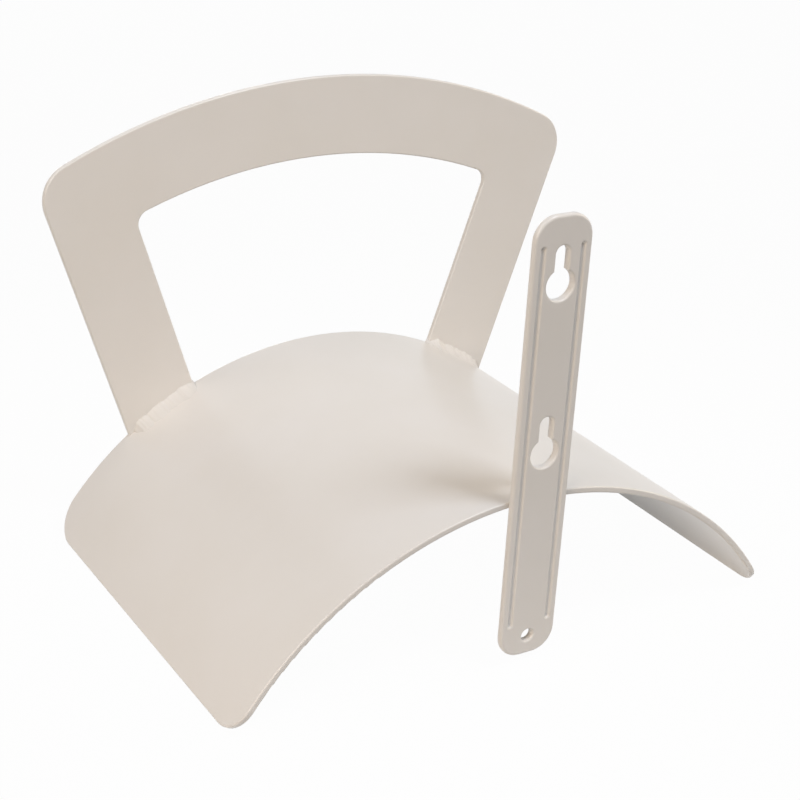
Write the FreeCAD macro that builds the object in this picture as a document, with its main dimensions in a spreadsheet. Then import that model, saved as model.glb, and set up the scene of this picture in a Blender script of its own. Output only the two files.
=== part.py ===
import FreeCAD, Part
import math
import os

import Sketcher

# Wall-mounted hose hanger: an arched sheet saddle that carries the coil, an open guard plate
# standing on its front edge, and a pressed strip with keyholes that hangs on the wall.
# Frame: the wall is the plane Y = 0, +Y points away from it, +Z is up and X runs across.
# The origin is on the strip's wall face, level with the crown of the saddle.

os.makedirs("parts", exist_ok=True)

doc = FreeCAD.newDocument("HoseHanger")
sheet = doc.addObject("Spreadsheet::Sheet", "Sizes")

SIZES = [
    ("saddle_radius", 146.0, "outside of the arch"),
    ("saddle_half_angle", 58.5, "crown to wing end, degrees"),
    ("saddle_depth", 173.5, "strip to front edge"),
    ("saddle_sheet", 2.65, "thickness"),
    ("saddle_rear_corner", 12.0, "corner radius of the wings beside the wall"),
    ("saddle_front_corner", 16.0, "corner radius of the wings at the front"),
    ("edge_round", 0.7, "softened edges of the saddle and the guard"),
    ("guard_sheet", 2.65, "thickness"),
    ("guard_rise", 118.3, "crown to top edge"),
    ("guard_band", 34.5, "width of the top band and of each leg"),
    ("leg_spacing", 128.8, "between the legs, level with the crown"),
    ("leg_splay", 18.25, "lean of each leg, degrees"),
    ("guard_outer_corner", 16.0, "corner radius outside"),
    ("window_corner", 6.0, "corner radius of the window"),
    ("strip_width", 25.0, "across the strip"),
    ("strip_sheet", 3.0, "thickness"),
    ("strip_above", 110.0, "crown to upper end"),
    ("strip_below", 67.6, "crown to lower end"),
    ("strip_corner", 9.5, "corner radius of the ends"),
    ("strip_round", 1.2, "rolled edge of the strip"),
    ("keyhole_neck", 5.9, "width of the narrow part"),
    ("keyhole_head", 11.9, "diameter of the round part"),
    ("keyhole_drop", 11.7, "neck centre to head centre"),
    ("keyhole_spacing", 65.65, "lower keyhole to upper keyhole"),
    ("lower_head_height", 18.3, "crown to the lower keyhole's head centre"),
    ("screw_hole", 5.2, "diameter"),
    ("screw_hole_drop", 59.3, "crown to the screw hole"),
    ("hole_round", 0.8, "rolled-in rim of the keyholes and the screw hole"),
    ("bead_spacing", 17.3, "between the two pressed beads"),
    ("bead_radius", 1.1, "nose radius of the pressing tool"),
    ("bead_depth", 0.9, "below the wall face"),
    ("bead_round", 0.7, "drawn-in lips of a bead"),
    ("bead_above", 99.0, "crown to the upper end of a bead"),
    ("bead_below", 54.0, "crown to the lower end of a bead"),
    ("weld_throw", 4.0, "reach of a weld along each sheet"),
    ("weld_pitch", 3.6, "ripple to ripple"),
    ("leg_ripples", 6, "ripples along one leg"),
    ("strip_ripples", 4, "ripples under the saddle at the strip"),
]
for row, (name, value, note) in enumerate(SIZES, 1):
    sheet.set("A%d" % row, name)
    sheet.set("B%d" % row, str(value))
    sheet.setAlias("B%d" % row, name)
    sheet.set("C%d" % row, note)
doc.recompute()


def size(name):
    return float(sheet.get(name))


def point(x, y):
    return FreeCAD.Vector(x, y, 0)


def arc(radius, centre, start, end):
    circle = Part.Circle(centre, FreeCAD.Vector(0, 0, 1), radius)
    return Part.ArcOfCircle(circle, start, end)


def new_body(label):
    body = doc.addObject("PartDesign::Body", label)
    body.Label = label
    return body


def origin_plane(body, role):
    return next(item for item in body.Origin.OriginFeatures if item.Role == role)


def new_sketch(body, name, role="XZ_Plane"):
    sketch = body.newObject("Sketcher::SketchObject", name)
    sketch.AttachmentSupport = [(origin_plane(body, role), "")]
    sketch.MapMode = "FlatFace"
    return sketch


def join(sketch, pairs):
    for one, one_end, other, other_end in pairs:
        sketch.addConstraint(Sketcher.Constraint("Coincident", one, one_end, other, other_end))


def dimension(sketch, name, kind, where, expression):
    value = sketch.evalExpression(expression)
    value = float(getattr(value, "Value", value))
    if kind == "Angle":
        value = math.radians(value)
    number = sketch.addConstraint(Sketcher.Constraint(kind, *where, value))
    sketch.renameConstraint(number, name)
    sketch.setExpression("Constraints." + name, expression)


def edge_names(feature, chosen):
    names = ["Edge%d" % number for number, edge in enumerate(feature.Shape.Edges, 1) if chosen(edge)]
    if not names:
        raise ValueError("no edge found on " + feature.Name)
    return names


def fillet(body, base, name, chosen, expression):
    doc.recompute()
    feature = body.newObject("PartDesign::Fillet", name)
    feature.Base = (base, edge_names(base, chosen))
    feature.setExpression("Radius", expression)
    return feature


def pad(body, sketch, name, expression):
    feature = body.newObject("PartDesign::Pad", name)
    feature.Profile = sketch
    feature.Reversed = True
    feature.setExpression("Length", expression)
    return feature


def along_y(edge):
    one, other = edge.Vertexes[0].Point, edge.Vertexes[-1].Point
    return abs(one.x - other.x) < 1e-4 and abs(one.z - other.z) < 1e-4 and edge.Length > 1e-3


def on_plane(edge, level):
    box = edge.BoundBox
    return abs(box.YMin - level) < 1e-4 and abs(box.YMax - level) < 1e-4


# Saddle: one sheet rolled to an arc, its crown at Z = 0 and its rear edge against the strip.
def make_saddle():
    radius, sheet_size = size("saddle_radius"), size("saddle_sheet")
    half = math.radians(size("saddle_half_angle"))
    depth = size("saddle_depth")
    centre = point(0, -radius)
    inner = radius - sheet_size

    def on_arc(reach, side):
        return point(side * reach * math.sin(half), reach * math.cos(half) - radius)

    body = new_body("saddle")
    sketch = new_sketch(body, "SaddleProfile")
    sketch.addGeometry(arc(radius, centre, math.pi / 2 - half, math.pi / 2 + half))
    sketch.addGeometry(arc(inner, centre, math.pi / 2 - half, math.pi / 2 + half))
    sketch.addGeometry(Part.LineSegment(on_arc(inner, 1), on_arc(radius, 1)))
    sketch.addGeometry(Part.LineSegment(on_arc(inner, -1), on_arc(radius, -1)))
    join(sketch, [(0, 1, 2, 2), (1, 1, 2, 1), (0, 2, 3, 2), (1, 2, 3, 1), (0, 3, 1, 3)])
    sketch.addConstraint(Sketcher.Constraint("PointOnObject", 0, 3, -2))
    sketch.addConstraint(Sketcher.Constraint("PointOnObject", 0, 3, 2))
    sketch.addConstraint(Sketcher.Constraint("PointOnObject", 0, 3, 3))
    dimension(sketch, "drop", "DistanceY", (0, 3, -1, 1), "Sizes.saddle_radius")
    dimension(sketch, "outside", "Radius", (0,), "Sizes.saddle_radius")
    dimension(sketch, "inside", "Radius", (1,), "Sizes.saddle_radius - Sizes.saddle_sheet")
    dimension(sketch, "right_end", "Angle", (2,), "90 - Sizes.saddle_half_angle")
    dimension(sketch, "left_end", "Angle", (3,), "90 + Sizes.saddle_half_angle")
    sheet_pad = pad(body, sketch, "SaddleSheet", "Sizes.saddle_depth")

    def is_corner(edge, level):
        return on_plane(edge, level) and abs(edge.Length - sheet_size) < 1e-3

    rear = fillet(body, sheet_pad, "RearCorners", lambda e: is_corner(e, 0), "Sizes.saddle_rear_corner")
    front = fillet(body, rear, "FrontCorners", lambda e: is_corner(e, depth), "Sizes.saddle_front_corner")

    def on_outline(edge):
        middle = edge.valueAt((edge.FirstParameter + edge.LastParameter) / 2)
        reach = math.hypot(middle.x, middle.z + radius)
        return min(abs(reach - radius), abs(reach - inner)) < 1e-3

    fillet(body, front, "SoftEdges", on_outline, "Sizes.edge_round")
    body.setExpression("Placement.Base.y", "Sizes.strip_sheet")
    return body


# Guard: one flat plate with a window, its two leg ends cut to the saddle's arc.
def make_guard():
    radius, band = size("saddle_radius"), size("guard_band")
    top = radius + size("guard_rise")
    splay = math.radians(size("leg_splay"))
    inner_offset = size("leg_spacing") / 2 * math.cos(splay)
    centre = point(0, -radius)

    def on_leg(offset, reach):
        # angle from the right of the point at this reach on a leg's edge, seen from the arc's centre
        return math.pi / 2 - splay - math.asin((offset - radius * math.sin(splay)) / reach)

    def place(angle, reach, side):
        return point(side * reach * math.cos(angle), reach * math.sin(angle) - radius)

    edges = {
        "foot_outside": (on_leg(inner_offset + band, radius), radius),
        "foot_inside": (on_leg(inner_offset, radius), radius),
        "head_outside": (on_leg(inner_offset + band, top), top),
        "head_inside": (on_leg(inner_offset, top - band), top - band),
    }
    body = new_body("guard")
    sketch = new_sketch(body, "GuardOutline")
    for end in ("head_outside", "head_inside"):
        angle, reach = edges[end]
        sketch.addGeometry(arc(reach, centre, angle, math.pi - angle))
    outside, inside = edges["foot_outside"][0], edges["foot_inside"][0]
    sketch.addGeometry(arc(radius, centre, outside, inside))
    sketch.addGeometry(arc(radius, centre, math.pi - inside, math.pi - outside))
    for side in (1, -1):
        for name in ("outside", "inside"):
            foot = place(*edges["foot_" + name], side)
            sketch.addGeometry(Part.LineSegment(foot, place(*edges["head_" + name], side)))
    join(sketch, [(0, 1, 4, 2), (0, 2, 6, 2), (1, 1, 5, 2), (1, 2, 7, 2)])
    join(sketch, [(2, 1, 4, 1), (2, 2, 5, 1), (3, 1, 7, 1), (3, 2, 6, 1)])
    join(sketch, [(0, 3, 1, 3), (0, 3, 2, 3), (0, 3, 3, 3)])
    sketch.addConstraint(Sketcher.Constraint("PointOnObject", 0, 3, -2))
    dimension(sketch, "drop", "DistanceY", (0, 3, -1, 1), "Sizes.saddle_radius")
    dimension(sketch, "top", "Radius", (0,), "Sizes.saddle_radius + Sizes.guard_rise")
    dimension(sketch, "window_top", "Radius", (1,),
              "Sizes.saddle_radius + Sizes.guard_rise - Sizes.guard_band")
    dimension(sketch, "right_foot", "Radius", (2,), "Sizes.saddle_radius")
    dimension(sketch, "left_foot", "Radius", (3,), "Sizes.saddle_radius")
    for name, outer, lean in (("right", 4, "90 - Sizes.leg_splay"), ("left", 6, "90 + Sizes.leg_splay")):
        dimension(sketch, name + "_lean", "Angle", (outer,), lean)
        sketch.addConstraint(Sketcher.Constraint("Parallel", outer, outer + 1))
        dimension(sketch, name + "_inside", "Distance", (-1, 1, outer + 1),
                  "Sizes.leg_spacing / 2 * cos(Sizes.leg_splay)")
        dimension(sketch, name + "_outside", "Distance", (-1, 1, outer),
                  "Sizes.leg_spacing / 2 * cos(Sizes.leg_splay) + Sizes.guard_band")
    plate = pad(body, sketch, "GuardPlate", "Sizes.guard_sheet")

    def corner_at(edge, end):
        where = edge.Vertexes[0].Point
        corner = place(*edges[end], 1)
        return along_y(edge) and math.hypot(abs(where.x) - corner.x, where.z - corner.y) < 0.01

    outer = fillet(body, plate, "OuterCorners", lambda e: corner_at(e, "head_outside"),
                   "Sizes.guard_outer_corner")
    window = fillet(body, outer, "WindowCorners", lambda e: corner_at(e, "head_inside"),
                    "Sizes.window_corner")

    def on_outline(edge):
        middle = edge.valueAt((edge.FirstParameter + edge.LastParameter) / 2)
        at_foot = abs(math.hypot(middle.x, middle.z + radius) - radius) < 1e-3
        return not at_foot and (on_plane(edge, 0) or on_plane(edge, size("guard_sheet")))

    fillet(body, window, "SoftEdges", on_outline, "Sizes.edge_round")
    body.setExpression("Placement.Base.y", "Sizes.strip_sheet + Sizes.saddle_depth - Sizes.guard_sheet")
    return body


# Wall strip: a flat bar with round ends, two keyholes, a screw hole and two pressed beads.
def make_strip():
    half, above, below = size("strip_width") / 2, size("strip_above"), size("strip_below")
    body = new_body("wall_strip")

    outline = new_sketch(body, "StripOutline")
    corners = [point(-half, -below), point(half, -below), point(half, above), point(-half, above)]
    for number in range(4):
        outline.addGeometry(Part.LineSegment(corners[number], corners[(number + 1) % 4]))
    join(outline, [(number, 2, (number + 1) % 4, 1) for number in range(4)])
    for number, direction in enumerate(("Horizontal", "Vertical", "Horizontal", "Vertical")):
        outline.addConstraint(Sketcher.Constraint(direction, number))
    dimension(outline, "width", "DistanceX", (0, 1, 0, 2), "Sizes.strip_width")
    dimension(outline, "half_width", "DistanceX", (-1, 1, 0, 2), "Sizes.strip_width / 2")
    dimension(outline, "above", "DistanceY", (-1, 1, 1, 2), "Sizes.strip_above")
    dimension(outline, "below", "DistanceY", (1, 1, -1, 1), "Sizes.strip_below")
    blank = pad(body, outline, "StripBlank", "Sizes.strip_sheet")
    ends = fillet(body, blank, "RoundEnds", along_y, "Sizes.strip_corner")
    rolled = fillet(body, ends, "RolledEdge", lambda e: not along_y(e), "Sizes.strip_round")
    doc.recompute()

    # The keyhole is a round head below a narrow neck; the pattern repeats it further up.
    neck, head = size("keyhole_neck") / 2, size("keyhole_head") / 2
    low = size("lower_head_height")
    high = low + size("keyhole_drop")
    opening = math.acos(neck / head)
    shoulder = low + head * math.sin(opening)
    keyhole = new_sketch(body, "KeyholeOutline")
    keyhole.addGeometry(arc(neck, point(0, high), 0, math.pi))
    keyhole.addGeometry(arc(head, point(0, low), math.pi - opening, 2 * math.pi + opening))
    keyhole.addGeometry(Part.LineSegment(point(neck, high), point(neck, shoulder)))
    keyhole.addGeometry(Part.LineSegment(point(-neck, high), point(-neck, shoulder)))
    join(keyhole, [(0, 1, 2, 1), (1, 2, 2, 2), (0, 2, 3, 1), (1, 1, 3, 2)])
    for number in (0, 1):
        keyhole.addConstraint(Sketcher.Constraint("PointOnObject", number, 3, -2))
    for number, end in ((2, 1), (3, 1)):
        keyhole.addConstraint(Sketcher.Constraint("Vertical", number))
        keyhole.addConstraint(Sketcher.Constraint("Horizontal", number, end, 0, 3))
    dimension(keyhole, "neck", "Radius", (0,), "Sizes.keyhole_neck / 2")
    dimension(keyhole, "head", "Radius", (1,), "Sizes.keyhole_head / 2")
    dimension(keyhole, "height", "DistanceY", (-1, 1, 1, 3), "Sizes.lower_head_height")
    dimension(keyhole, "drop", "DistanceY", (1, 3, 0, 3), "Sizes.keyhole_drop")
    punched = body.newObject("PartDesign::Pocket", "Keyhole")
    punched.Profile = keyhole
    punched.Type = "ThroughAll"
    doc.recompute()
    keyholes = body.newObject("PartDesign::LinearPattern", "Keyholes")
    keyholes.Originals = [punched]
    keyholes.Direction = (keyhole, ["V_Axis"])
    keyholes.setExpression("Length", "Sizes.keyhole_spacing")
    keyholes.Occurrences = 2
    body.Tip = keyholes
    doc.recompute()

    screw = new_sketch(body, "ScrewHoleOutline")
    circle = Part.Circle(point(0, -size("screw_hole_drop")), FreeCAD.Vector(0, 0, 1), size("screw_hole") / 2)
    screw.addGeometry(circle)
    screw.addConstraint(Sketcher.Constraint("PointOnObject", 0, 3, -2))
    dimension(screw, "bore", "Radius", (0,), "Sizes.screw_hole / 2")
    dimension(screw, "drop", "DistanceY", (0, 3, -1, 1), "Sizes.screw_hole_drop")
    drilled = body.newObject("PartDesign::Pocket", "ScrewHole")
    drilled.Profile = screw
    drilled.Type = "ThroughAll"
    doc.recompute()

    def is_rim(edge):
        box = edge.BoundBox
        inside = max(abs(box.XMin), abs(box.XMax)) < head + 0.1
        return on_plane(edge, 0) and inside and box.ZMax < above - size("strip_corner")

    rims = fillet(body, drilled, "RolledRims", is_rim, "Sizes.hole_round")
    doc.recompute()

    # A bead is a straight groove with round ends, pressed by a round-nosed tool.
    radius = size("bead_radius")
    bottom, top = radius - size("bead_below"), size("bead_above") - radius
    profile = new_sketch(body, "BeadProfile", "YZ_Plane")
    profile.setExpression("AttachmentOffset.Base.x", "Sizes.bead_depth - Sizes.bead_radius")
    profile.setExpression("AttachmentOffset.Base.z", "Sizes.bead_spacing / 2")
    profile.addGeometry(Part.LineSegment(point(0, bottom - radius), point(0, top + radius)))
    profile.addGeometry(arc(radius, point(0, top), 0, math.pi / 2))
    profile.addGeometry(Part.LineSegment(point(radius, top), point(radius, bottom)))
    profile.addGeometry(arc(radius, point(0, bottom), -math.pi / 2, 0))
    join(profile, [(0, 2, 1, 2), (1, 1, 2, 1), (2, 2, 3, 2), (3, 1, 0, 1)])
    for number, end in ((1, 3), (3, 3), (0, 1), (0, 2)):
        profile.addConstraint(Sketcher.Constraint("PointOnObject", number, end, -2))
    profile.addConstraint(Sketcher.Constraint("Horizontal", 1, 3, 1, 1))
    profile.addConstraint(Sketcher.Constraint("Horizontal", 3, 3, 3, 2))
    profile.addConstraint(Sketcher.Constraint("Equal", 1, 3))
    dimension(profile, "nose", "Radius", (1,), "Sizes.bead_radius")
    dimension(profile, "top", "DistanceY", (-1, 1, 1, 3), "Sizes.bead_above - Sizes.bead_radius")
    dimension(profile, "bottom", "DistanceY", (3, 3, -1, 1), "Sizes.bead_below - Sizes.bead_radius")
    bead = body.newObject("PartDesign::Groove", "Bead")
    bead.Profile = profile
    bead.ReferenceAxis = (profile, ["V_Axis"])
    bead.Angle = 360
    doc.recompute()
    beads = body.newObject("PartDesign::Mirrored", "Beads")
    beads.Originals = [bead]
    beads.MirrorPlane = (origin_plane(body, "YZ_Plane"), [""])
    body.Tip = beads
    doc.recompute()

    def is_lip(edge):
        box = edge.BoundBox
        beside = abs(abs(box.Center.x) - size("bead_spacing") / 2)
        return on_plane(edge, 0) and beside < radius + 0.01 and box.XLength < 2 * radius + 0.01

    fillet(body, beads, "BeadLips", is_lip, "Sizes.bead_round")
    doc.recompute()
    return body


# Welds: rows of overlapping ripples, cut to the faces that they join. Each ripple is part of a ball
# whose centre lies where the middles of the two sheets meet, so that its face bulges only a little.
def ripples(name, plate, places):
    reach = "sqrt((Sizes.weld_throw + Sizes.saddle_sheet / 2) ^ 2 + (Sizes.%s / 2) ^ 2)" % plate
    balls = []
    for number, (across, out, up) in enumerate(places, 1):
        ball = doc.addObject("Part::Sphere", "%sRipple%d" % (name, number))
        ball.setExpression("Radius", reach)
        ball.setExpression("Placement.Base.x", across)
        ball.setExpression("Placement.Base.y", out)
        ball.setExpression("Placement.Base.z", up)
        balls.append(ball)
    row = doc.addObject("Part::MultiFuse", name + "Row")
    row.Shapes = balls
    return row


def cut_away(name, base, tool):
    result = doc.addObject("Part::Cut", name)
    result.Base = base
    result.Tool = tool
    return result


# A cylinder about the arch's axis, to halfway through the saddle's sheet.
def make_arch_core():
    core = doc.addObject("Part::Cylinder", "ArchCore")
    core.setExpression("Radius", "Sizes.saddle_radius - Sizes.saddle_sheet / 2")
    core.setExpression("Height", "Sizes.saddle_depth + 2 * Sizes.weld_throw")
    core.Placement.Rotation = FreeCAD.Rotation(FreeCAD.Vector(1, 0, 0), -90)
    core.setExpression("Placement.Base.z", "-Sizes.saddle_radius")
    return core


# A block that fills everything on one side of a plane through a plate, wide enough for every weld.
def make_block(name, from_y):
    block = doc.addObject("Part::Box", name)
    block.setExpression("Length", "2 * Sizes.saddle_radius")
    block.setExpression("Width", "4 * Sizes.weld_throw")
    block.setExpression("Height", "2 * Sizes.saddle_radius")
    block.setExpression("Placement.Base.x", "-Sizes.saddle_radius")
    block.setExpression("Placement.Base.y", from_y)
    block.setExpression("Placement.Base.z", "-Sizes.saddle_radius")
    return block


def make_leg_weld(name, side, core, block):
    count = int(size("leg_ripples"))
    offset = "(Sizes.leg_spacing * cos(Sizes.leg_splay) + Sizes.guard_band) / 2"
    middle = "asin((%s) / Sizes.saddle_radius - sin(Sizes.leg_splay))" % offset
    out = "Sizes.strip_sheet + Sizes.saddle_depth - Sizes.guard_sheet / 2"
    reach = "(Sizes.saddle_radius - Sizes.saddle_sheet / 2)"
    places = []
    for number in range(count):
        steps = number - (count - 1) / 2
        angle = "Sizes.leg_splay * 1 deg + %s + %g * Sizes.weld_pitch / Sizes.saddle_radius * 1 rad" % (
            middle, steps)
        places.append((
            "%d * %s * sin(%s)" % (side, reach, angle),
            out,
            "%s * cos(%s) - Sizes.saddle_radius" % (reach, angle),
        ))
    row = ripples(name.title().replace("_", ""), "guard_sheet", places)
    over = cut_away(row.Name + "Over", row, core)
    behind = cut_away(row.Name + "Behind", over, block)
    beside = cut_away(row.Name + "Beside", behind, guard)
    return cut_away(name, beside, saddle)


def make_strip_weld(name, core, block):
    count = int(size("strip_ripples"))
    reach = "(Sizes.saddle_radius - Sizes.saddle_sheet / 2)"
    places = []
    for number in range(count):
        steps = number - (count - 1) / 2
        angle = "(%g * Sizes.weld_pitch / Sizes.saddle_radius * 1 rad)" % steps
        places.append((
            "%s * sin(%s)" % (reach, angle),
            "Sizes.strip_sheet / 2",
            "%s * cos(%s) - Sizes.saddle_radius" % (reach, angle),
        ))
    row = ripples("StripWeld", "strip_sheet", places)
    under = doc.addObject("Part::Common", "StripWeldUnder")
    under.Base = row
    under.Tool = core
    front = cut_away("StripWeldFront", under, block)
    beside = cut_away("StripWeldBeside", front, strip)
    return cut_away(name, beside, saddle)


saddle = make_saddle()
guard = make_guard()
strip = make_strip()
arch_core = make_arch_core()
guard_block = make_block("GuardBlock",
                         "Sizes.strip_sheet + Sizes.saddle_depth - Sizes.guard_sheet / 2")
strip_block = make_block("StripBlock", "Sizes.strip_sheet / 2 - 4 * Sizes.weld_throw")
parts = [
    saddle,
    guard,
    strip,
    make_leg_weld("guard_weld_left", -1, arch_core, guard_block),
    make_leg_weld("guard_weld_right", 1, arch_core, guard_block),
    make_strip_weld("strip_weld", arch_core, strip_block),
]
doc.recompute()

for item in doc.Objects:
    if "Invalid" in item.State or "Error" in item.State:
        raise RuntimeError("not built: " + item.Name)
for part in parts:
    if part.Shape.isNull() or not part.Shape.isValid():
        raise RuntimeError("bad shape: " + part.Label)
for part in parts:
    part.Shape.exportStep("parts/%s.step" % part.Label)
    print("%-18s %d solid, %.1f mm3" % (part.Label, len(part.Shape.Solids), part.Shape.Volume))
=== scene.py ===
"""Wall-mounted hose hanger in powder-coated sheet steel, set up for a studio picture.

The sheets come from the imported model. This file gives them their finish, lays the weld beads at
the guard's feet and under the saddle at the strip, and sets the floor, the light and the camera.
Everything is in metres: the wall is the plane Y = 0, +Y points away from it and +Z is up.
"""

import math

import bmesh
import bpy
from mathutils import Matrix, Vector


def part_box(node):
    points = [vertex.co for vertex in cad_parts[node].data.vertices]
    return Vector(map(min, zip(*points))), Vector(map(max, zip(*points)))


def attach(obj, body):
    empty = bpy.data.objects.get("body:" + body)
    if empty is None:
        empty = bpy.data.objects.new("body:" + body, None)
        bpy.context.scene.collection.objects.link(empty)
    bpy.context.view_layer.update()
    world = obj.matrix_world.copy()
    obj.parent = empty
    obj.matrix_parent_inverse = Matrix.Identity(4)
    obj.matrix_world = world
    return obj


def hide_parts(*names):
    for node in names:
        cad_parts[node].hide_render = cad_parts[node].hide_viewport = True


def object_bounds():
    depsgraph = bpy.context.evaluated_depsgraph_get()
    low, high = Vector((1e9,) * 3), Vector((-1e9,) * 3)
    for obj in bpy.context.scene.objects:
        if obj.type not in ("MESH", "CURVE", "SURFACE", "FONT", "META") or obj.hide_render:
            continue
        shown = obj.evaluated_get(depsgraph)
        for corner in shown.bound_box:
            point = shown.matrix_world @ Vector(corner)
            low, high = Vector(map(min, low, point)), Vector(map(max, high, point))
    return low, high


bl_info = {
    "name": "Hose Hanger",
    "version": (1, 0, 0),
    "blender": (4, 5, 0),
    "location": "View3D > Sidebar > Hanger",
    "description": "Finish, weld beads and studio for a sheet-steel hose hanger",
    "category": "Object",
}

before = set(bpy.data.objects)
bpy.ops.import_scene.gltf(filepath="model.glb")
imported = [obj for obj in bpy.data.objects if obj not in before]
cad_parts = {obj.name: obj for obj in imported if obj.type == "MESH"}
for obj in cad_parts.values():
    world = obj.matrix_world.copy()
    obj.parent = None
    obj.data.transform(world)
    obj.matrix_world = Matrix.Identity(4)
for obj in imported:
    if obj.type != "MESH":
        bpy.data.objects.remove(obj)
cad_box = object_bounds()

BODY = "root"
SHEETS = ("saddle", "guard", "wall_strip")
LEG_WELDS = ("guard_weld_left", "guard_weld_right")
STRIP_WELD = "strip_weld"

# decimal places of a metre down to the micrometre
MICROMETRE_PLACES = 6

# values of the cloud noise at which the coat is fully thin and fully thick
CLOUD_SPREAD = (0.35, 0.65)

# points round a bead's section and along its run, and how near two points are one
SECTION_POINTS = 64
RUN_POINTS = 160
MERGE_DISTANCE = 1e-6

# thickness of a bead's tip as a share of the bead, ripples to one step of its slow
# unevenness, and the shift of that unevenness from one bead to the next
TIP_SHARE = 0.3
RIPPLES_PER_STEP = 1.7
SEED_STEP = 7.3

# name, bearing and height in degrees, distance and side in metres, power in watts, colour
SOFTBOXES = (
    ("key_softbox", 32, 62, 1.4, 0.38, 8.7, (0.82, 0.89, 1.0)),
    ("low_left_softbox", -62, 25, 1.4, 0.7, 9.4, (1.0, 0.85, 0.70)),
    ("low_right_softbox", 75, 25, 1.4, 0.7, 7.1, (1.0, 0.83, 0.62)),
    ("high_left_softbox", -90, 50, 0.76, 0.5, 1.1, (0.9, 0.94, 1.0)),
    ("room_side_softbox", 172, 2, 1.4, 0.7, 5.5, (1.0, 0.95, 0.88)),
)


def thickness(node):
    """Size along Y of a flat sheet that stands parallel to the wall, to the micrometre."""
    low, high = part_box(node)
    return round(high.y - low.y, MICROMETRE_PLACES)


class CoatSettings(bpy.types.PropertyGroup):
    """The powder coat on every sheet and weld."""

    colour: bpy.props.FloatVectorProperty(
        name="Colour", description="Almond beige of the powder coat",
        subtype="COLOR", size=3, min=0, max=1, default=(0.806, 0.774, 0.736))
    deep_colour: bpy.props.FloatVectorProperty(
        name="Thin-coat colour", description="Where the coat lies a little thinner and warmer",
        subtype="COLOR", size=3, min=0, max=1, default=(0.79, 0.756, 0.71))
    roughness: bpy.props.FloatProperty(
        name="Roughness", description="Satin gloss of the coat",
        subtype="FACTOR", min=0, max=1, default=0.3)
    cloud_size: bpy.props.FloatProperty(
        name="Cloud size", description="Size of the faint patches in the coat",
        subtype="DISTANCE", min=0.001, default=0.045)
    peel_size: bpy.props.FloatProperty(
        name="Peel size", description="Size of one dimple of the orange peel",
        subtype="DISTANCE", min=0.0001, default=0.0016)
    peel_depth: bpy.props.FloatProperty(
        name="Peel depth", description="Depth of the orange peel",
        subtype="DISTANCE", min=0, default=0.000012)
    sag_size: bpy.props.FloatProperty(
        name="Sag size", description="Width of the long waves in the coat",
        subtype="DISTANCE", min=0.001, default=0.014)
    sag_depth: bpy.props.FloatProperty(
        name="Sag depth", description="Depth of the long waves in the coat",
        subtype="DISTANCE", min=0, default=0.00003)


class WeldSettings(bpy.types.PropertyGroup):
    """The weld beads between the sheets."""

    arch_radius: bpy.props.FloatProperty(
        name="Arch radius", description="Outside radius of the saddle's arch",
        subtype="DISTANCE", min=0.01, default=0.146)
    sheet: bpy.props.FloatProperty(
        name="Sheet", description="Thickness of the saddle and the guard",
        subtype="DISTANCE", min=0.0001, default=thickness("guard"))
    strip_sheet: bpy.props.FloatProperty(
        name="Strip sheet", description="Thickness of the wall strip",
        subtype="DISTANCE", min=0.0001, default=thickness("wall_strip"))
    reach: bpy.props.FloatProperty(
        name="Reach",
        description="Middle of the joint to where a bead's foot runs out inside the saddle's sheet",
        subtype="DISTANCE", min=0.0001, default=0.0146)
    climb: bpy.props.FloatProperty(
        name="Climb",
        description="Middle of the joint to where a bead runs out inside the guard or the strip",
        subtype="DISTANCE", min=0.0001, default=0.0059)
    hollow: bpy.props.FloatProperty(
        name="Hollow", description="1 for a round bead, 2 for a flat one, more for a hollow one",
        min=0.5, max=4, default=3.0)
    leg_run: bpy.props.FloatProperty(
        name="Leg run", description="Length of the bead at each foot of the guard",
        subtype="DISTANCE", min=0.001, default=0.0335)
    wrap: bpy.props.FloatProperty(
        name="Wrap",
        description="How much further that bead runs to the leg's inner side than to its outer side",
        subtype="DISTANCE", min=0, default=0.0026)
    strip_run: bpy.props.FloatProperty(
        name="Strip run", description="Length of the bead under the saddle at the strip",
        subtype="DISTANCE", min=0.001, default=0.0215)
    taper: bpy.props.FloatProperty(
        name="Taper", description="Length of the rounded ends",
        subtype="DISTANCE", min=0.0001, default=0.006)
    pitch: bpy.props.FloatProperty(
        name="Pitch", description="Ripple to ripple",
        subtype="DISTANCE", min=0.0005, default=0.0026)
    ripple: bpy.props.FloatProperty(
        name="Ripple", description="Height of the ripples as a share of the bead",
        subtype="FACTOR", min=0, max=1, default=0.009)
    wander: bpy.props.FloatProperty(
        name="Wander", description="Unevenness of the hand-laid bead as a share of it",
        subtype="FACTOR", min=0, max=1, default=0.42)
    # tone: painted shade; the beads' coat is made darker than the sheets' so that the bead faces, which
    # catch more of the lamps, read as shaded
    tone: bpy.props.FloatProperty(
        name="Tone", description="Tone of the thinner, duller coat on the beads against the sheets",
        subtype="FACTOR", min=0, max=1, default=0.92)
    roughness: bpy.props.FloatProperty(
        name="Roughness", description="Roughness of the coat on the beads",
        subtype="FACTOR", min=0, max=1, default=0.5)


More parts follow.
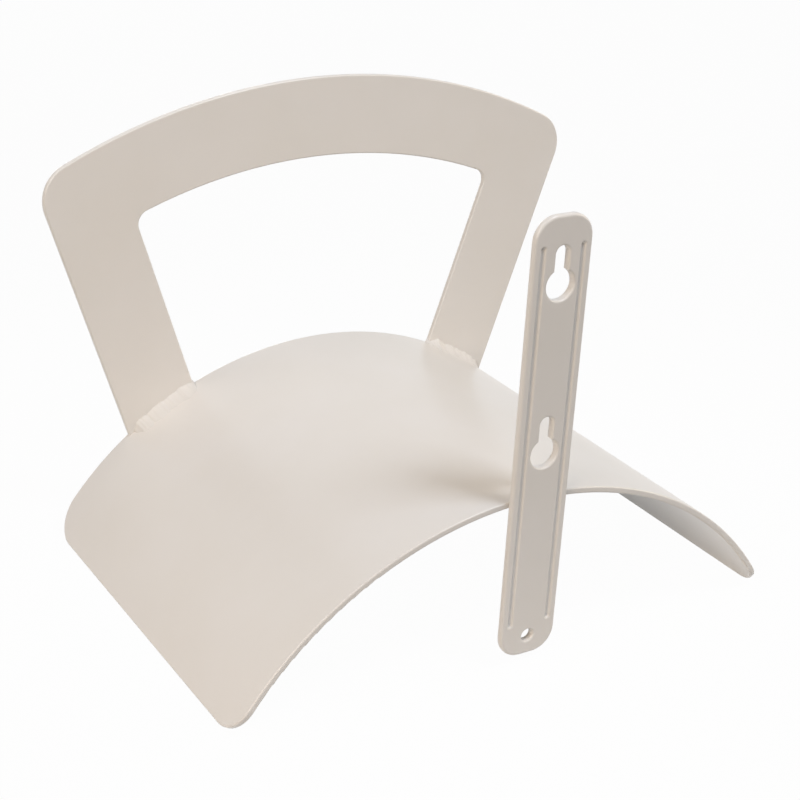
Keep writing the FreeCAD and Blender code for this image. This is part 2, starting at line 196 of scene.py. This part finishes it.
class StageSettings(bpy.types.PropertyGroup):
    """Floor, light and camera."""

    floor_size: bpy.props.FloatProperty(
        name="Floor", description="Side of the square floor",
        subtype="DISTANCE", min=1, default=14.0)
    # the floor's matt colour is painted light: a pool of light, paler around the object and darker
    # further out, whose bounce lights the object from below
    painted_pool_tone: bpy.props.FloatProperty(
        name="Floor tone", description="How much light the floor gives back around the object",
        subtype="FACTOR", min=0, max=1, default=0.66)
    outside_pool_tone: bpy.props.FloatProperty(
        name="Far floor tone", description="How much light the floor gives back further out",
        subtype="FACTOR", min=0, max=1, default=0.15)
    fade_reach: bpy.props.FloatVectorProperty(
        name="Fade reach",
        description="Where the floor starts and ends to fade, from under the object's middle",
        subtype="NONE", unit="LENGTH", size=2, default=(0.1, 0.5))
    floor_glow: bpy.props.FloatProperty(
        name="Floor whiteness", description="Share of plain white in what the camera sees of the floor",
        subtype="FACTOR", min=0, max=1, default=0.975)
    room_light: bpy.props.FloatProperty(
        name="Room light", description="Even light from all round",
        min=0, default=0.1)
    bearing: bpy.props.FloatProperty(
        name="Bearing", description="Turn of the camera's view from straight away from the wall",
        subtype="ANGLE", default=math.radians(32.384))
    elevation: bpy.props.FloatProperty(
        name="Elevation", description="How steeply the camera looks down",
        subtype="ANGLE", default=math.radians(23.953))
    roll: bpy.props.FloatProperty(
        name="Roll", description="Tilt of the camera about its own axis",
        subtype="ANGLE", default=math.radians(3.216))
    distance: bpy.props.FloatProperty(
        name="Distance", description="Camera to the point it looks at",
        subtype="DISTANCE", min=0.1, default=0.6963)
    aim: bpy.props.FloatVectorProperty(
        name="Aim", description="Point in the middle of the picture",
        subtype="XYZ", unit="LENGTH", size=3, default=(-0.00703, 0.08979, 0.00455))
    lens: bpy.props.FloatProperty(
        name="Lens", description="Focal length in millimetres on a 36 mm sensor",
        subtype="DISTANCE_CAMERA", min=10, default=76.75)


def add(tree, kind, **values):
    """A new node of a tree, with its inputs set by name."""
    node = tree.nodes.new(kind)
    for name, value in values.items():
        node.inputs[name.replace("_", " ")].default_value = value
    return node


def calculate(tree, operation, *values, clamp=False):
    """A Math node; each value is a number or a socket."""
    node = tree.nodes.new("ShaderNodeMath")
    node.operation = operation
    node.use_clamp = clamp
    for socket, value in zip(node.inputs, values):
        if isinstance(value, bpy.types.NodeSocket):
            tree.links.new(value, socket)
        else:
            socket.default_value = value
    return node.outputs[0]


def noise(tree, place, feature_size, detail):
    """Noise whose features have a real size, from 0 to 1."""
    node = add(tree, "ShaderNodeTexNoise", Scale=1 / feature_size, Detail=detail, Roughness=0.5)
    tree.links.new(place, node.inputs["Vector"])
    return node.outputs["Fac"]


def make_coat(title, settings, roughness, tone=1.0):
    """Powder coat: faint clouds of colour, long shallow waves and fine orange peel; a tone below 1
    darkens the whole coat as painted shade.
    """
    coat = bpy.data.materials.new(title)
    coat.use_nodes = True
    tree = coat.node_tree
    shader = tree.nodes["Principled BSDF"]
    shader.inputs["Roughness"].default_value = roughness
    place = add(tree, "ShaderNodeTexCoord").outputs["Object"]

    clouds = noise(tree, place, settings.cloud_size, detail=3)
    blend = tree.nodes.new("ShaderNodeMix")
    blend.data_type = "RGBA"
    for side, colour in (("A", settings.deep_colour), ("B", settings.colour)):
        # a tone below 1 is painted shade, laid on the weld beads' coat
        blend.inputs[side].default_value = (*(part * tone for part in colour), 1)
    spread = tree.nodes.new("ShaderNodeMapRange")
    for name, value in zip(("From Min", "From Max"), CLOUD_SPREAD):
        spread.inputs[name].default_value = value
    tree.links.new(clouds, spread.inputs["Value"])
    tree.links.new(spread.outputs["Result"], blend.inputs["Factor"])
    tree.links.new(blend.outputs["Result"], shader.inputs["Base Color"])

    waves = add(tree, "ShaderNodeBump", Strength=1, Distance=settings.sag_depth)
    peel = add(tree, "ShaderNodeBump", Strength=1, Distance=settings.peel_depth)
    tree.links.new(noise(tree, place, settings.sag_size, detail=1), waves.inputs["Height"])
    tree.links.new(noise(tree, place, settings.peel_size, detail=2), peel.inputs["Height"])
    tree.links.new(waves.outputs["Normal"], peel.inputs["Normal"])
    tree.links.new(peel.outputs["Normal"], shader.inputs["Normal"])
    return coat


class HANGER_OT_coat_sheets(bpy.types.Operator):
    """Coat the saddle, the guard and the wall strip"""

    bl_idname = "hanger.coat_sheets"
    bl_label = "Coat Sheets"

    def execute(self, context):
        settings = context.scene.hanger_coat
        coat = make_coat("sheet_coat", settings, settings.roughness)
        for node in SHEETS:
            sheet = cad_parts[node]
            sheet.data.materials.clear()
            sheet.data.materials.append(coat)
        return {"FINISHED"}


BEAD_INPUTS = (
    ("Path Radius", "NodeSocketFloat"),
    ("Start", "NodeSocketFloat"),
    ("Sweep", "NodeSocketFloat"),
    ("Place", "NodeSocketVector"),
    ("Corner", "NodeSocketVector"),
    ("Hollow", "NodeSocketFloat"),
    ("Taper", "NodeSocketFloat"),
    ("Pitch", "NodeSocketFloat"),
    ("Ripple", "NodeSocketFloat"),
    ("Wander", "NodeSocketFloat"),
    ("Seed", "NodeSocketFloat"),
    ("Coat", "NodeSocketMaterial"),
)


def bead_swell(tree, given):
    """How thick the bead is along its run: round ends, ripples and a slow wander."""
    along = tree.nodes.new("GeometryNodeSplineParameter").outputs["Length"]
    run = tree.nodes.new("GeometryNodeSplineLength").outputs["Length"]
    from_end = calculate(tree, "MINIMUM", along, calculate(tree, "SUBTRACT", run, along))
    rise = calculate(tree, "DIVIDE", from_end, given["Taper"], clamp=True)
    rest = calculate(tree, "SUBTRACT", 1, rise)
    round_off = calculate(tree, "SUBTRACT", 1, calculate(tree, "MULTIPLY", rest, rest))
    taper = calculate(tree, "SQRT", round_off)
    turns = calculate(tree, "MULTIPLY", calculate(tree, "DIVIDE", along, given["Pitch"]), 2 * math.pi)
    ripple = calculate(tree, "MULTIPLY", calculate(tree, "COSINE", turns), given["Ripple"])
    drift = tree.nodes.new("ShaderNodeTexNoise")
    drift.noise_dimensions = "1D"
    drift.inputs["Scale"].default_value = 1
    step = calculate(tree, "MULTIPLY", given["Pitch"], RIPPLES_PER_STEP)
    place = calculate(tree, "DIVIDE", along, step)
    tree.links.new(calculate(tree, "ADD", place, given["Seed"]), drift.inputs["W"])
    either_way = calculate(tree, "SUBTRACT", drift.outputs["Fac"], 0.5)
    wander = calculate(tree, "MULTIPLY", either_way, given["Wander"])
    whole = calculate(tree, "ADD", 1, calculate(tree, "ADD", ripple, wander))
    ends = calculate(tree, "ADD", TIP_SHARE, calculate(tree, "MULTIPLY", taper, 1 - TIP_SHARE))
    return calculate(tree, "MULTIPLY", ends, whole)


def bead_profile(tree, given):
    """The bead's section: its corner lies in the middle of both sheets, its face is bowed or hollow."""
    ring = add(tree, "GeometryNodeCurvePrimitiveCircle", Resolution=SECTION_POINTS, Radius=1)
    turned = tree.nodes.new("ShaderNodeSeparateXYZ")
    point = tree.nodes.new("GeometryNodeInputPosition").outputs["Position"]
    tree.links.new(point, turned.inputs["Vector"])
    face = tree.nodes.new("ShaderNodeCombineXYZ")
    for side in ("X", "Y"):
        quarter = calculate(tree, "MAXIMUM", turned.outputs[side], 0)
        tree.links.new(calculate(tree, "POWER", quarter, given["Hollow"]), face.inputs[side])
    sized = tree.nodes.new("ShaderNodeVectorMath")
    sized.operation = "MULTIPLY"
    tree.links.new(face.outputs["Vector"], sized.inputs[0])
    tree.links.new(given["Corner"], sized.inputs[1])
    shape = tree.nodes.new("GeometryNodeSetPosition")
    tree.links.new(ring.outputs["Curve"], shape.inputs["Geometry"])
    tree.links.new(sized.outputs["Vector"], shape.inputs["Position"])
    return shape.outputs["Geometry"]


def make_bead_tree():
    """A bead's section swept along an arc in the saddle's sheet, stood upright and coated."""
    tree = bpy.data.node_groups.new("weld_bead", "GeometryNodeTree")
    for name, kind in BEAD_INPUTS:
        tree.interface.new_socket(name, in_out="INPUT", socket_type=kind)
    tree.interface.new_socket("Geometry", in_out="OUTPUT", socket_type="NodeSocketGeometry")
    given = tree.nodes.new("NodeGroupInput").outputs

    path = add(tree, "GeometryNodeCurveArc", Resolution=RUN_POINTS)
    for socket, name in (("Radius", "Path Radius"), ("Start Angle", "Start"), ("Sweep Angle", "Sweep")):
        tree.links.new(given[name], path.inputs[socket])
    bead = add(tree, "GeometryNodeCurveToMesh", Fill_Caps=True)
    tree.links.new(path.outputs["Curve"], bead.inputs["Curve"])
    tree.links.new(bead_swell(tree, given), bead.inputs["Scale"])
    tree.links.new(bead_profile(tree, given), bead.inputs["Profile Curve"])
    stand = add(tree, "GeometryNodeTransform", Rotation=(math.pi / 2, 0, 0))
    tree.links.new(bead.outputs["Mesh"], stand.inputs["Geometry"])
    tree.links.new(given["Place"], stand.inputs["Translation"])
    realize = tree.nodes.new("GeometryNodeRealizeInstances")
    tree.links.new(stand.outputs["Geometry"], realize.inputs["Geometry"])
    coat = tree.nodes.new("GeometryNodeSetMaterial")
    tree.links.new(realize.outputs["Geometry"], coat.inputs["Geometry"])
    tree.links.new(given["Coat"], coat.inputs["Material"])
    tree.links.new(coat.outputs["Geometry"], tree.nodes.new("NodeGroupOutput").inputs["Geometry"])
    return tree


def lay_bead(node, tree, values):
    """Runs the tree once, keeps its result as a plain mesh and lets it stand for the node."""
    bead = bpy.data.objects.new(node + "_bead", bpy.data.meshes.new(node + "_bead"))
    bpy.context.scene.collection.objects.link(bead)
    run = bead.modifiers.new("weld_bead", "NODES")
    run.node_group = tree
    for item in tree.interface.items_tree:
        if item.in_out == "INPUT":
            run[item.identifier] = values[item.name]
    ready = bead.evaluated_get(bpy.context.evaluated_depsgraph_get())
    mesh = bpy.data.meshes.new_from_object(ready)
    bead.modifiers.clear()
    shape = bmesh.new()
    shape.from_mesh(mesh)
    bmesh.ops.remove_doubles(shape, verts=shape.verts, dist=MERGE_DISTANCE)
    bmesh.ops.recalc_face_normals(shape, faces=shape.faces)
    shape.to_mesh(mesh)
    shape.free()
    mesh.shade_smooth()
    bead.data = mesh
    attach(bead, BODY)
    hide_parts(node)


class HANGER_OT_lay_welds(bpy.types.Operator):
    """Lay the weld beads at the guard's feet and under the saddle at the strip"""

    bl_idname = "hanger.lay_welds"
    bl_label = "Lay Welds"

    def execute(self, context):
        settings = context.scene.hanger_weld
        # the weld coat is the sheets' coat darkened by the tone, as painted shade on the beads
        coat = make_coat("weld_coat_painted_shade", context.scene.hanger_coat, settings.roughness, settings.tone)
        tree = make_bead_tree()
        path_radius = settings.arch_radius - settings.sheet / 2
        for count, node in enumerate((*LEG_WELDS, STRIP_WELD)):
            low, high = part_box(node)
            middle = (low + high) / 2
            turn = math.atan2(middle.z + settings.arch_radius, middle.x)
            if node == STRIP_WELD:
                run, wall = settings.strip_run, low.y - settings.strip_sheet / 2
                corner = (-settings.climb, settings.reach, 0.0)
            else:
                run, wall = settings.leg_run, high.y + settings.sheet / 2
                corner = (settings.climb, -settings.reach, 0.0)
                turn += math.copysign(settings.wrap / path_radius / 2, middle.x)
            lay_bead(node, tree, {
                "Path Radius": path_radius,
                "Start": turn - run / path_radius / 2,
                "Sweep": run / path_radius,
                "Place": (0.0, wall, -settings.arch_radius),
                "Corner": corner,
                "Hollow": settings.hollow,
                "Taper": settings.taper,
                "Pitch": settings.pitch,
                "Ripple": settings.ripple,
                "Wander": settings.wander,
                "Seed": SEED_STEP * count,
                "Coat": coat,
            })
        return {"FINISHED"}


def seen_ray(tree):
    """1 where a ray comes from the camera, a reflection or glass, else 0."""
    path = tree.nodes.new("ShaderNodeLightPath")
    seen = path.outputs["Is Camera Ray"]
    for name in ("Is Glossy Ray", "Is Transmission Ray"):
        seen = calculate(tree, "MAXIMUM", seen, path.outputs[name])
    return seen


def make_floor(settings, middle):
    """A matt floor with a painted pool of light, paler near the object and darker further out, that
    looks almost plain white to the camera.
    """
    half, level = settings.floor_size / 2, middle.z
    mesh = bpy.data.meshes.new("floor")
    corners = [(-half, -half, level), (half, -half, level), (half, half, level), (-half, half, level)]
    mesh.from_pydata(corners, [], [(0, 1, 2, 3)])
    floor = bpy.data.objects.new("floor", mesh)
    bpy.context.scene.collection.objects.link(floor)
    paint = bpy.data.materials.new("floor_paint")
    paint.use_nodes = True
    tree = paint.node_tree
    tree.nodes.remove(tree.nodes["Principled BSDF"])
    matt = add(tree, "ShaderNodeBsdfDiffuse")
    away = tree.nodes.new("ShaderNodeVectorMath")
    away.operation = "DISTANCE"
    away.inputs[1].default_value = middle
    tree.links.new(add(tree, "ShaderNodeTexCoord").outputs["Object"], away.inputs[0])
    # painted pool of light: the matt colour fades from pale under the object to dark further out
    fade = tree.nodes.new("ShaderNodeMapRange")
    fade.interpolation_type = "SMOOTHSTEP"
    for name, value in zip(("From Min", "From Max"), settings.fade_reach):
        fade.inputs[name].default_value = value
    fade.inputs["To Min"].default_value = settings.painted_pool_tone
    fade.inputs["To Max"].default_value = settings.outside_pool_tone
    tree.links.new(away.outputs["Value"], fade.inputs["Value"])
    tree.links.new(fade.outputs["Result"], matt.inputs["Color"])
    white = add(tree, "ShaderNodeEmission", Color=(1, 1, 1, 1), Strength=1)
    mix = tree.nodes.new("ShaderNodeMixShader")
    whiteness = calculate(tree, "MULTIPLY", seen_ray(tree), settings.floor_glow)
    tree.links.new(whiteness, mix.inputs["Fac"])
    tree.links.new(matt.outputs["BSDF"], mix.inputs[1])
    tree.links.new(white.outputs["Emission"], mix.inputs[2])
    tree.links.new(mix.outputs["Shader"], tree.nodes["Material Output"].inputs["Surface"])
    mesh.materials.append(paint)


def make_world(settings):
    """Weak even light on the object, and plain white where the camera sees past the floor."""
    world = bpy.data.worlds.new("studio")
    world.use_nodes = True
    tree = world.node_tree
    light = tree.nodes["Background"]
    light.inputs["Color"].default_value = (1, 1, 1, 1)
    light.inputs["Strength"].default_value = settings.room_light
    white = add(tree, "ShaderNodeBackground", Color=(1, 1, 1, 1), Strength=1)
    mix = tree.nodes.new("ShaderNodeMixShader")
    tree.links.new(seen_ray(tree), mix.inputs["Fac"])
    tree.links.new(light.outputs["Background"], mix.inputs[1])
    tree.links.new(white.outputs["Background"], mix.inputs[2])
    tree.links.new(mix.outputs["Shader"], tree.nodes["World Output"].inputs["Surface"])
    bpy.context.scene.world = world


def add_softbox(name, bearing, height, distance, side, power, colour, aim):
    """A square lamp; its bearing is from the wall's side towards +X, its height is above the level."""
    turn, rise = math.radians(bearing), math.radians(height)
    level = Vector((math.sin(turn), -math.cos(turn), 0)) * math.cos(rise)
    place = Vector(aim) + (level + Vector((0, 0, math.sin(rise)))) * distance
    lamp = bpy.data.lights.new(name, "AREA")
    lamp.shape = "SQUARE"
    lamp.size = side
    lamp.energy = power
    lamp.color = colour
    box = bpy.data.objects.new(name, lamp)
    box.location = place
    box.rotation_euler = (Vector(aim) - place).to_track_quat("-Z", "Y").to_euler()
    bpy.context.scene.collection.objects.link(box)


def make_camera(settings):
    """A camera on the wall's side that looks down over the strip to the guard."""
    turn, drop = settings.bearing, settings.elevation
    view = Vector((math.sin(turn) * math.cos(drop), math.cos(turn) * math.cos(drop), -math.sin(drop)))
    level = Vector((math.cos(turn), -math.sin(turn), 0))
    upright = level.cross(view)
    right = level * math.cos(settings.roll) + upright * math.sin(settings.roll)
    up = upright * math.cos(settings.roll) - level * math.sin(settings.roll)
    camera = bpy.data.objects.new("camera", bpy.data.cameras.new("camera"))
    camera.data.lens = settings.lens
    camera.matrix_world = Matrix((right, up, -view)).transposed().to_4x4()
    camera.location = Vector(settings.aim) - view * settings.distance
    bpy.context.scene.collection.objects.link(camera)
    bpy.context.scene.camera = camera


class HANGER_OT_set_stage(bpy.types.Operator):
    """Set up the floor, the soft light and the camera"""

    bl_idname = "hanger.set_stage"
    bl_label = "Set Stage"

    def execute(self, context):
        settings = context.scene.hanger_stage
        low, high = cad_box
        middle = (low + high) / 2
        make_floor(settings, Vector((middle.x, middle.y, low.z)))
        make_world(settings)
        for name, *how in SOFTBOXES:
            add_softbox(name, *how, middle)
        make_camera(settings)
        context.scene.view_settings.view_transform = "Standard"
        return {"FINISHED"}


class HANGER_PT_sidebar(bpy.types.Panel):
    """Steps and settings of the hose hanger"""

    bl_idname = "HANGER_PT_sidebar"
    bl_label = "Hose Hanger"
    bl_space_type = "VIEW_3D"
    bl_region_type = "UI"
    bl_category = "Hanger"

    def draw(self, context):
        for step in STEPS:
            self.layout.operator(step.bl_idname)
        scene = context.scene
        for settings in (scene.hanger_coat, scene.hanger_weld, scene.hanger_stage):
            box = self.layout.box()
            for name in settings.__annotations__:
                box.prop(settings, name)


STEPS = (HANGER_OT_coat_sheets, HANGER_OT_lay_welds, HANGER_OT_set_stage)
CLASSES = (CoatSettings, WeldSettings, StageSettings, *STEPS, HANGER_PT_sidebar)


def register():
    for item in CLASSES:
        bpy.utils.register_class(item)
    bpy.types.Scene.hanger_coat = bpy.props.PointerProperty(type=CoatSettings)
    bpy.types.Scene.hanger_weld = bpy.props.PointerProperty(type=WeldSettings)
    bpy.types.Scene.hanger_stage = bpy.props.PointerProperty(type=StageSettings)


def unregister():
    del bpy.types.Scene.hanger_stage
    del bpy.types.Scene.hanger_weld
    del bpy.types.Scene.hanger_coat
    for item in reversed(CLASSES):
        bpy.utils.unregister_class(item)


def main():
    """Runs the three steps."""
    register()
    bpy.ops.hanger.coat_sheets()
    bpy.ops.hanger.lay_welds()
    bpy.ops.hanger.set_stage()


if __name__ == "__main__":
    main()
